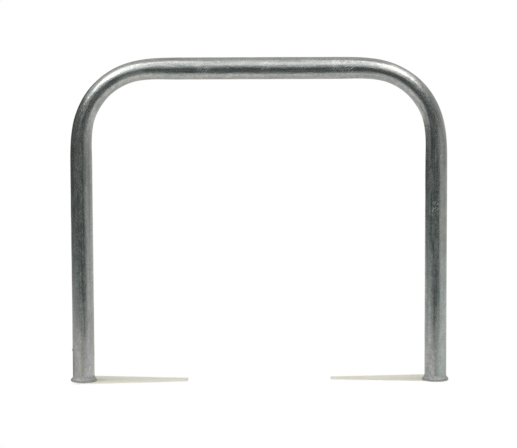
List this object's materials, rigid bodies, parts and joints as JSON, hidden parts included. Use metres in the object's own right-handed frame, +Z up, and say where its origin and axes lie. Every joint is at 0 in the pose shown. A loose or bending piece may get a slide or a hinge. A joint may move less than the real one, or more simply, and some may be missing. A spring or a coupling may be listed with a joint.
{
  "type": "hoop bike rack",
  "caption": "Arched steel tube hoop that bikes lean on and lock to, with small round bolt-down foot discs.",
  "frame": {"origin": "on the ground, midway between the two feet", "axes": "+X along the top rail, +Y across the hoop, +Z up"},
  "size_m": [0.838, 0.058, 0.714],
  "materials": {
    "galvanised_tube": "hot-dip galvanised drawn tube, satin, with lengthwise streaks",
    "galvanised_disc": "hot-dip galvanised plate, satin",
    "galvanised_weld": "hot-dip galvanised weld bead, rippled",
    "galvanised_bush": "hot-dip galvanised turned bush, tapped after dipping"
  },
  "bodies": {
    "root": {"hoop_tube": "galvanised_tube", "left_foot_disc": "galvanised_disc", "right_foot_disc": "galvanised_disc", "left_foot_weld": "galvanised_weld", "right_foot_weld": "galvanised_weld", "left_anchor_bush": "galvanised_bush", "right_anchor_bush": "galvanised_bush", "left_bush_weld": "galvanised_weld", "right_bush_weld": "galvanised_weld"}
  },
  "joints": []
}
